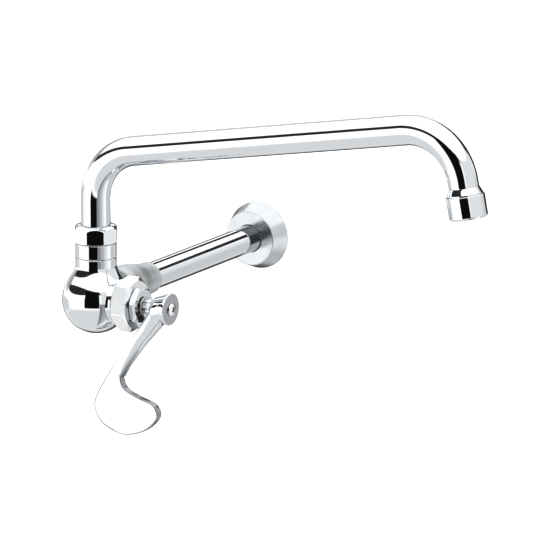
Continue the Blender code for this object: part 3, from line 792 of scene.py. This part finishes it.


# Chromium plate over buffed brass, with painted shade round the paddle: within about 2 mm of its
# edge, where the skin turns away from the faces, the colour is painted a darker grey that stands
# in for shade, and the finish is a greyer satin than on the faces.
edge_shade_chrome, tree, place = start_finish("chromium_plate_with_painted_edge_shade")
turned_away = add_node(tree, "ShaderNodeSeparateXYZ", {"Vector": place.outputs["Normal"]})
turned_away = add_node(tree, "ShaderNodeMath", {0: turned_away.outputs["Y"]},
                       operation="ABSOLUTE")
rim = add_node(tree, "ShaderNodeMapRange", {
    "Value": turned_away.outputs[0], "From Min": 0.88, "From Max": 0.97,
    "To Min": 1.0, "To Max": 0.0})
spot = add_node(tree, "ShaderNodeSeparateXYZ", {"Vector": place.outputs["Object"]})
paddle = add_node(tree, "ShaderNodeMapRange", {
    "Value": spot.outputs["Z"], "From Min": stem_z - 0.052, "From Max": stem_z - 0.030,
    "To Min": 1.0, "To Max": 0.0})
# Painted edge shade: the mask covers the paddle where its skin turns away from the faces.
painted_edge_shade = add_node(tree, "ShaderNodeMath", {0: rim.outputs["Result"], 1: paddle.outputs["Result"]},
                operation="MULTIPLY")
edge_shade_grey = add_node(tree, "ShaderNodeMix", {
    "Factor": painted_edge_shade.outputs[0], 6: linear("#CCCFD2"), 7: linear("#85888B")}, data_type="RGBA")
edge_satin = add_node(tree, "ShaderNodeMapRange", {
    "Value": painted_edge_shade.outputs[0], "To Min": 0.05, "To Max": 0.20})
surface(edge_shade_chrome, {"Base Color": edge_shade_grey.outputs[2], "Metallic": 1.0,
    "Roughness": edge_satin.outputs["Result"]})

blade_lever = skinned(
    "blade_lever", lever_field, (-0.0045, riser_y - 0.0135, stem_z - 0.1025),
    (0.0665, riser_y + 0.0135, stem_z + 0.0135), 0.0005 * coarse, edge_shade_chrome)
cut(blade_lever, [turned("lever_socket", [
    (0, hub_start - 0.007), (0.0055, hub_start - 0.007), (0.0055, 0.0600), (0.0026, 0.0600),
    (0.0026, hub_end + 0.001), (0, hub_end + 0.001)], stem_stand, None, 48)])
true_normals(blade_lever, lever_field)

# Plated brass left as the lathe faced it: rings about 0.5 mm apart round the screw scatter
# the light to a soft grey. They are drawn about three times coarser than the tool's feed.
faced, tree, place = start_finish("chromium_plate_on_faced_brass")
centred = add_node(tree, "ShaderNodeMapping", {
    "Vector": place.outputs["Object"], "Location": (0, -riser_y, -stem_z),
    "Scale": (0, 1, 1)})
rings = add_node(tree, "ShaderNodeTexWave", {
    "Vector": centred.outputs["Vector"], "Scale": 1 / 0.0005 / 20 * math.pi, "Distortion": 0.6,
    "Detail": 2.0}, wave_type="RINGS", rings_direction="X")
cut_rings = add_node(tree, "ShaderNodeBump", {
    "Height": rings.outputs["Fac"], "Distance": 0.00003, "Strength": 0.8})
surface(faced, {"Base Color": linear("#A6A8AB"), "Metallic": 1.0, "Roughness": 0.24,
    "Normal": cut_rings.outputs["Normal"]})
blade_lever.data.materials.append(faced)
for face in blade_lever.data.polygons:
    if face.center.x > hub_end - 0.00002 and face.normal.x > 0.99:
        face.material_index = 1
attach(blade_lever, "lever")
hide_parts("lever_handle")


# Handle screw: a plated steel machine screw with a domed head and a cross recess.

head_seat = screw_high.x - 0.0022
dome = [(0.0047 * math.cos(t), head_seat + 0.0006 + 0.0016 * math.sin(t))
        for t in np.linspace(0, math.pi / 2, 12)]
cross_screw = turned("cross_screw", [
    (0, screw_low.x), (0.0020, screw_low.x), (0.0020, head_seat), (0.0046, head_seat),
    (0.0047, head_seat + 0.0001)] + dome[:-1] + [(0, dome[-1][1])], stem_stand, milled, 64)
blades = []
for k in range(2):
    blades.append(stock(
        "driver_%d" % k, (-0.0026, -0.0006, head_seat + 0.0004), (0.0026, 0.0006, 0.070),
        stem_stand @ Matrix.Rotation(math.radians(20 + 90 * k), 4, "Z")))
cut(cross_screw, blades)

# Painted shade in the cross recess: its walls and floor are painted a nearly black, rough metal.
recess_shade, tree, place = start_finish("painted_recess_shade")
shade_mottle = add_node(tree, "ShaderNodeTexNoise", {
    "Vector": place.outputs["Object"], "Scale": 1 / 0.0006, "Detail": 2.0})
recess_shade_black = add_node(tree, "ShaderNodeMix", {
    "Factor": shade_mottle.outputs["Fac"], 6: linear("#1B1C1E"), 7: linear("#34363A")},
    data_type="RGBA")
surface(recess_shade, {"Base Color": recess_shade_black.outputs[2], "Metallic": 1.0, "Roughness": 0.5})
cross_screw.data.materials.append(recess_shade)
# The recess's walls and floor take the painted shade.
for face in cross_screw.data.polygons:
    off_axis = math.hypot(face.center.y - riser_y, face.center.z - stem_z)
    if face.center.x > head_seat + 0.0003 and off_axis < 0.0029 and face.normal.x < 0.2:
        face.material_index = 1
    if abs(face.center.x - head_seat - 0.0004) < 0.00002 and face.normal.x > 0.9:
        face.material_index = 1
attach(cross_screw, "lever")
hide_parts("handle_screw")


# Spout adapter: a plated brass nipple on a rubber washer, screwed down into the body's neck.
# Its collar sits on the neck, and the swivel nut screws on to its upper thread.

adapter_low, adapter_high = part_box("spout_adapter")
collar_low = 0.0316
collar_high = 0.0424
collar_nipple = turned("collar_nipple", softened([
    (0.0093, adapter_low.z, 0), (0.0112, adapter_low.z, 0), (0.0112, collar_low, 0),
    (neck_radius, collar_low, 0.0005), (neck_radius, collar_high, 0.0005),
    (0.0126, collar_high, 0), (0.0126, adapter_high.z, 0.0003), (0.0093, adapter_high.z, 0)]),
    riser_stand, chrome)
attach(collar_nipple, "fixed")
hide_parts("spout_adapter")
nodes["adapter_washer"].material_slots[0].material = rubber


# Swivel nut: an octagon with a domed top, turned and milled from brass and plated. It holds
# the spout's ferrule down and lets it turn; a PTFE ring takes the rub.

crown_radius = 0.0113
crown_wide = 0.0058
crown_tall = 0.0049
crown_base = 0.0511
nut_low = 0.0427
nut_face = 0.0152


def crown(reach):
    """Height of the nut's domed top at this distance from the axis."""
    aside = (reach - crown_radius) / crown_wide
    return crown_base + crown_tall * math.sqrt(max(0, 1 - aside ** 2))


def crown_end(reach):
    """The nut's profile from the top of a flat, over the dome and down its bore."""
    dome = []
    for k in range(12):
        radius = reach + (crown_radius - reach) * k / 11
        dome.append((radius, crown(radius), 0))
    return dome + [(crown_radius, 0.0543, 0), (0.0129, 0.0543, 0)]


swivel_octagon = nut(
    "swivel_octagon", 8, 0.031, math.radians(98), 0.0006,
    lambda reach: [
        (0.0129, nut_low, 0), (nut_face, nut_low, 0.0001),
        (reach, nut_low + (reach - nut_face) * chamfer, 0.0001)],
    crown_end, riser_stand, chrome)
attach(swivel_octagon, "fixed")
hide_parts("swivel_nut")
nodes["glide_ring"].material_slots[0].material = ptfe


# Spout: 22 mm brass tube, bent cold over two formers of the same radius, buffed and plated.
# Its foot is brazed over a brass ferrule with two rubber rings, on which it swings.

tube_radius = 0.011
tube_bore = 0.0095
tube_foot = 0.0529
arm_height = 0.1088
arm_rise = math.radians(10.0)
outlet_tilt = math.radians(11.0)
bend_radius = 0.040
bend_steps = 40
corner_reach = 0.299
outlet_drop = 0.0494
tube_end = -0.0058

up_way = Vector((0, 0, 1))
arm_way = Vector((math.cos(arm_rise), 0, math.sin(arm_rise)))
outlet_way = Vector((math.sin(outlet_tilt), 0, -math.cos(outlet_tilt)))
first_corner = Vector((0, riser_y, arm_height))
second_corner = Vector((corner_reach, riser_y, arm_height + corner_reach * math.tan(arm_rise)))
mouth = second_corner + outlet_way * outlet_drop

route = [(Vector((0, riser_y, tube_foot)), up_way)]
for corner, arriving, leaving in (
        (first_corner, up_way, arm_way), (second_corner, arm_way, outlet_way)):
    bend = arriving.angle(leaving)
    start = corner - arriving * bend_radius * math.tan(bend / 2)
    inward = (leaving - arriving * arriving.dot(leaving)).normalized()
    centre = start + inward * bend_radius
    for k in range(bend_steps + 1):
        angle = bend * k / bend_steps
        point = centre - inward * bend_radius * math.cos(angle)
        point += arriving * bend_radius * math.sin(angle)
        route.append((point, arriving * math.cos(angle) + inward * math.sin(angle)))
route.append((mouth + outlet_way * tube_end, outlet_way))

sides = 96
points, faces = [], []
for radius in (tube_radius, tube_bore):
    for point, way in route:
        across = Vector((0, 1, 0)).cross(way)
        for k in range(sides):
            angle = 2 * math.pi * k / sides
            offset = across * math.cos(angle) + Vector((0, 1, 0)) * math.sin(angle)
            points.append(point + offset * radius)
stations = len(route)
for wall in (0, 1):
    for k, step in itertools.product(range(sides), range(stations - 1)):
        base = (wall * stations + step) * sides
        k2 = (k + 1) % sides
        face = (base + k, base + k2, base + sides + k2, base + sides + k)
        faces.append(face if wall == 0 else face[::-1])
for step in (0, stations - 1):
    for k in range(sides):
        k2 = (k + 1) % sides
        outer, inner = step * sides, (stations + step) * sides
        face = (outer + k2, outer + k, inner + k, inner + k2)
        faces.append(face if step == 0 else face[::-1])
bent_tube = make_piece("bent_tube", points, faces, chrome)
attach(bent_tube, "spout")
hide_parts("spout_tube")
nodes["spout_ferrule"].material_slots[0].material = brass
nodes["spout_o_ring_lower"].material_slots[0].material = rubber
nodes["spout_o_ring_upper"].material_slots[0].material = rubber


# Outlet nipple: a turned brass end brazed into the tube, with a short cone outside and a fine
# male thread that the nozzle shell screws on to.

mouth_stand = Matrix.Translation(mouth) @ outlet_way.to_track_quat("Z", "Y").to_matrix().to_4x4()
nozzle_cone = turned("nozzle_cone", softened([
    (0.0080, -0.0098, 0), (0.0091, -0.0098, 0.0003), (0.0091, -0.0055, 0),
    (0.0110, -0.0055, 0), (0.0114, -0.0045, 0.0004), (0.0129, -0.0010, 0.0004),
    (0.0129, -0.0003, 0), (0.0123, -0.0003, 0), (0.0123, 0.0075, 0.0002),
    (0.0080, 0.0075, 0)]), mouth_stand, chrome)
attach(nozzle_cone, "spout")
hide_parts("outlet_nipple")


# Nozzle shell: a turned and plated cap that screws on to the nipple and holds the aerator.

nozzle_radius = 0.0140
nozzle_length = 0.0168
nozzle_cap = turned("nozzle_cap", softened([
    (0.0126, 0.0, 0), (nozzle_radius, 0.0, 0.0006), (nozzle_radius, 0.0152, 0.0008),
    (0.0131, nozzle_length, 0.0005), (0.0104, nozzle_length, 0.0003), (0.0104, 0.0150, 0),
    (0.0126, 0.0150, 0)]), mouth_stand, chrome)
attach(nozzle_cap, "spout")
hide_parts("nozzle_shell")


# Aerator: a moulded acetal insert with jets in two rings, under a gasket and a steel screen.

# Acetal, injection moulded: milky white with a soft shine and faint flow marks.
acetal, tree, place = start_finish("moulded_acetal")
flow_marks = add_node(tree, "ShaderNodeTexNoise", {
    "Vector": place.outputs["Object"], "Scale": 1 / 0.003, "Detail": 2.0, "Distortion": 1.0})
milky = add_node(tree, "ShaderNodeMix", {
    "Factor": flow_marks.outputs["Fac"], 6: linear("#E9EAEA"), 7: linear("#DCDEDF")},
    data_type="RGBA")
shine = add_node(tree, "ShaderNodeMapRange", {
    "Value": flow_marks.outputs["Fac"], "To Min": 0.30, "To Max": 0.45})
surface(acetal, {"Base Color": milky.outputs[2], "Roughness": shine.outputs["Result"],
    "IOR": 1.48})

jet_insert = turned("jet_insert", [
    (0, 0.0096), (0.0123, 0.0096), (0.0123, 0.0147), (0.0101, 0.0147), (0.0101, 0.0160),
    (0.0099, 0.0162), (0.0088, 0.0162), (0.0086, 0.0156), (0, 0.0156)], mouth_stand, acetal, 96)
jets = []
for ring_radius, count in ((0.0030, 6), (0.0062, 12)):
    for k in range(count):
        angle = math.radians(360 * k / count + 5)
        place_at = mouth_stand @ Matrix.Translation(
            (ring_radius * math.cos(angle), ring_radius * math.sin(angle), 0))
        jets.append(turned("jet_%d_%d" % (count, k), [
            (0, 0.009), (0.0010, 0.009), (0.0010, 0.017), (0, 0.017)], place_at, None, 16))
cut(jet_insert, jets)
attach(jet_insert, "spout")
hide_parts("aerator_insert")
nodes["aerator_gasket"].material_slots[0].material = rubber
nodes["aerator_screen"].material_slots[0].material = steel


# Studio: a plain white floor well below the tap, and a tent of soft light fixed in the room.
# The tent has a dark gap round its roof, a greyer wall on the right and dark cards, and it
# shows only in reflections: what is seen directly behind the tap is plain white.

floor_height = -0.45
floor_radius = 12
floor_sides = 60
floor_spokes = [math.radians(360 / floor_sides * k) for k in range(floor_sides)]
floor = make_piece("studio_floor", [
    (floor_radius * math.cos(spoke), floor_radius * math.sin(spoke), floor_height)
    for spoke in floor_spokes], [tuple(range(floor_sides))], None)

# Studio paper: matt white with the faintest mottle.
paper, tree, place = start_finish("matt_white_studio_paper")
mottle = add_node(tree, "ShaderNodeTexNoise", {
    "Vector": place.outputs["Object"], "Scale": 3.0, "Detail": 2.0})
sheet = add_node(tree, "ShaderNodeMix", {
    "Factor": mottle.outputs["Fac"], 6: linear("#FAFAFA"), 7: linear("#F4F5F5")},
    data_type="RGBA")
surface(paper, {"Base Color": sheet.outputs[2], "Roughness": 0.9})
floor.data.materials.append(paper)
floor.visible_glossy = False

world = bpy.data.worlds.new("light_tent")
bpy.context.scene.world = world
world.use_nodes = True
tree = world.node_tree
tree.nodes.clear()
place = add_node(tree, "ShaderNodeTexCoord")
way = add_node(tree, "ShaderNodeSeparateXYZ", {"Vector": place.outputs["Generated"]})
front = add_node(tree, "ShaderNodeMath", {0: way.outputs["Y"], 1: -1.0}, operation="MULTIPLY")
bearing = add_node(tree, "ShaderNodeMath", {0: way.outputs["X"], 1: front.outputs[0]},
                   operation="ARCTAN2")
height = add_node(tree, "ShaderNodeMath", {0: way.outputs["Z"]}, operation="ARCSINE")

# Angle away from the middle of a round card, which stands still behind the tap.
card_way = (-0.4900, 0.8395, -0.2350)
facing = add_node(tree, "ShaderNodeVectorMath", {
    0: place.outputs["Generated"], 1: card_way}, operation="DOT_PRODUCT")
apart = add_node(tree, "ShaderNodeMath", {0: facing.outputs["Value"]}, operation="ARCCOSINE")

# The dark gap between the side panels and the roof panel. Its middle climbs to the front and
# to the back, and it thickens and sinks in one bulge, which lies mostly between the bearings
# of -120 and 40 degrees. Heights and thicknesses are parts of the tent's radius.
gap_sides = 0.25             # height of its middle at the left and the right
gap_ahead = -0.37            # its height straight ahead and straight astern
gap_astern = 0.25
half_sides = 0.027           # half its thickness at the left and the right
half_ahead = -0.06           # growth of that half ahead and astern
half_astern = 0.07
bulge_drop = -0.06
bulge_half = 0.11
flat = add_node(tree, "ShaderNodeMath", {0: height.outputs[0]}, operation="COSINE")
ahead = add_node(tree, "ShaderNodeMath", {0: way.outputs["Y"], 1: gap_ahead},
                 operation="MULTIPLY")
astern = add_node(tree, "ShaderNodeMath", {0: way.outputs["Y"], 1: gap_astern},
                  operation="MULTIPLY")
lift = add_node(tree, "ShaderNodeMath", {0: ahead.outputs[0], 1: astern.outputs[0]},
                operation="MAXIMUM")
gap_middle = add_node(tree, "ShaderNodeMath", {
    0: flat.outputs[0], 1: gap_sides, 2: lift.outputs[0]}, operation="MULTIPLY_ADD")
swell = add_node(tree, "ShaderNodeMapRange", {
    "Value": bearing.outputs[0], "From Min": math.radians(-120), "From Max": math.radians(-46)},
    interpolation_type="SMOOTHSTEP")
shrink = add_node(tree, "ShaderNodeMapRange", {
    "Value": bearing.outputs[0], "From Min": math.radians(-34), "From Max": math.radians(40),
    "To Min": 1.0, "To Max": 0.0}, interpolation_type="SMOOTHSTEP")
bulge = add_node(tree, "ShaderNodeMath", {
    0: swell.outputs["Result"], 1: shrink.outputs["Result"]}, operation="MULTIPLY")
gap_middle = add_node(tree, "ShaderNodeMath", {
    0: bulge.outputs[0], 1: bulge_drop, 2: gap_middle.outputs[0]}, operation="MULTIPLY_ADD")
off_gap = add_node(tree, "ShaderNodeMath", {0: way.outputs["Z"], 1: gap_middle.outputs[0]},
                   operation="SUBTRACT")
off_gap = add_node(tree, "ShaderNodeMath", {0: off_gap.outputs[0]}, operation="ABSOLUTE")
front_half = add_node(tree, "ShaderNodeMath", {
    0: way.outputs["Y"], 1: half_ahead, 2: half_sides}, operation="MULTIPLY_ADD")
back_half = add_node(tree, "ShaderNodeMath", {
    0: way.outputs["Y"], 1: half_astern, 2: half_sides}, operation="MULTIPLY_ADD")
half_gap = add_node(tree, "ShaderNodeMath", {0: front_half.outputs[0], 1: back_half.outputs[0]},
                    operation="MAXIMUM")
half_gap = add_node(tree, "ShaderNodeMath", {
    0: bulge.outputs[0], 1: bulge_half, 2: half_gap.outputs[0]}, operation="MULTIPLY_ADD")
in_gap = add_node(tree, "ShaderNodeMath", {0: half_gap.outputs[0], 1: off_gap.outputs[0]},
                  operation="SUBTRACT")

# The right-hand wall is lit unevenly: (bearing in degrees, brightness) from front to back.
tent_white = 2.0
wall_shades = [(44, 0.15), (47, 0.24), (55, 0.48), (63, 0.65), (71, 0.66), (80, 0.90),
               (89, 1.20), (99, 1.36), (106, 1.50), (110, 1.80), (114, 1.70), (120, 1.17),
               (132, 0.80), (145, 0.90)]
wall_from, wall_to = 40, 180
sweep = add_node(tree, "ShaderNodeMapRange", {
    "Value": bearing.outputs[0], "From Min": math.radians(wall_from),
    "From Max": math.radians(wall_to)})
shades = add_node(tree, "ShaderNodeValToRGB", {"Fac": sweep.outputs["Result"]})
for degrees, bright in wall_shades:
    stop = shades.color_ramp.elements.new((degrees - wall_from) / (wall_to - wall_from))
    stop.color = [bright / tent_white] * 3 + [1.0]
shades.color_ramp.elements[0].color = [0.05] * 3 + [1.0]
shades.color_ramp.elements[len(wall_shades) + 1].color = [0.45] * 3 + [1.0]
wall = add_node(tree, "ShaderNodeMath", {0: shades.outputs["Color"], 1: tent_white},
                operation="MULTIPLY")

# Panels and cards as (brightness, edges); later ones cover earlier ones. An edge is (what is
# measured, where in degrees, softness in degrees): above it is inside, or below it when the
# softness is negative.
cards = [
    (0.03, [(in_gap, 0, 0.7)]),                                       # gap round the roof
    (1.08, [(height, -23, -7)]),                                      # table below
    (1.18, [(bearing, 48, 7), (bearing, 152, -4), (height, 31, -4)]),  # right-hand wall
    (1.18, [(bearing, 48, 7), (bearing, 171, -3), (height, 3, -2)]),
    (0.95, [(bearing, 130, 14), (bearing, 171, -3), (height, 3, -2)]),
    (wall.outputs[0], [(bearing, 44, 2), (bearing, 171, -3), (height, -5, -3)]),
    (0.45, [(bearing, 171, 3), (height, -22, 3), (height, 14, -5)]),  # wall behind
    (0.45, [(bearing, -128, -8), (height, -22, 3), (height, 14, -5)]),
    (0.12, [(bearing, -130, -12), (height, -52, 8), (height, -22, -3)]),
    (0.55, [(bearing, -135, 8), (bearing, -93, -8), (height, 1, 5), (height, 19, -3)]),
    (0.95, [(bearing, -142, 4), (bearing, -72, -14), (height, -24, 4), (height, -5, -3)]),
    (0.08, [(apart, 24, -4)]),                                        # round card behind
    (0.03, [(bearing, 157, 4), (height, -11, 2), (height, 23, -3)]),  # black card
    (0.03, [(bearing, -164, -3), (height, -11, 2), (height, 23, -3)]),
    (0.006, [(bearing, -9, 1.5), (bearing, 43, -1.5), (height, -19, 1.5), (height, 33, -2)]),
]
level = tent_white
for bright, edges in cards:
    cover = 1.0
    for source, where, soft in edges:
        side = add_node(tree, "ShaderNodeMapRange", {
            "Value": source.outputs[0], "From Min": math.radians(where - abs(soft)),
            "From Max": math.radians(where + abs(soft)), "To Min": float(soft < 0),
            "To Max": float(soft > 0)}, interpolation_type="SMOOTHSTEP")
        cover = add_node(tree, "ShaderNodeMath", {0: cover, 1: side.outputs["Result"]},
                         operation="MULTIPLY").outputs[0]
    level = add_node(tree, "ShaderNodeMix", {"Factor": cover, "A": level, "B": bright},
                     data_type="FLOAT").outputs["Result"]
tent = add_node(tree, "ShaderNodeBackground", {"Color": linear("#FFFFFF"), "Strength": level})
backdrop = add_node(tree, "ShaderNodeBackground", {"Color": linear("#FFFFFF"), "Strength": 1.0})
ray = add_node(tree, "ShaderNodeLightPath")
choice = add_node(tree, "ShaderNodeMixShader", {
    0: ray.outputs["Is Camera Ray"], 1: tent.outputs[0], 2: backdrop.outputs[0]})
add_node(tree, "ShaderNodeOutputWorld", {"Surface": choice.outputs[0]})


# Camera: a long lens 4 m away, a little above the tap and to the right of its front.

camera_bearing = math.radians(30.28)
camera_height = math.radians(13.59)
camera_distance = 4.0
lens_width = 36.0
image_columns = 550
column_width = 0.000739
view_width = image_columns * column_width
aim_right = 0.13204          # from the riser's foot to the middle of the image
aim_up = 0.01683

towards = Vector((math.sin(camera_bearing) * math.cos(camera_height),
                  -math.cos(camera_bearing) * math.cos(camera_height),
                  math.sin(camera_height)))
right = Vector((math.cos(camera_bearing), math.sin(camera_bearing), 0))
upward = towards.cross(right)
aim = Vector((0, riser_y, 0)) + right * aim_right + upward * aim_up
lens = bpy.data.cameras.new("long_lens")
lens.sensor_width = lens_width
lens.lens = lens_width * camera_distance / view_width
lens.clip_end = 100.0
camera = bpy.data.objects.new("camera", lens)
bpy.context.scene.collection.objects.link(camera)
camera.location = aim + towards * camera_distance
camera.rotation_euler = (-towards).to_track_quat("-Z", "Y").to_euler()
bpy.context.scene.camera = camera
bpy.context.scene.view_settings.view_transform = "Standard"
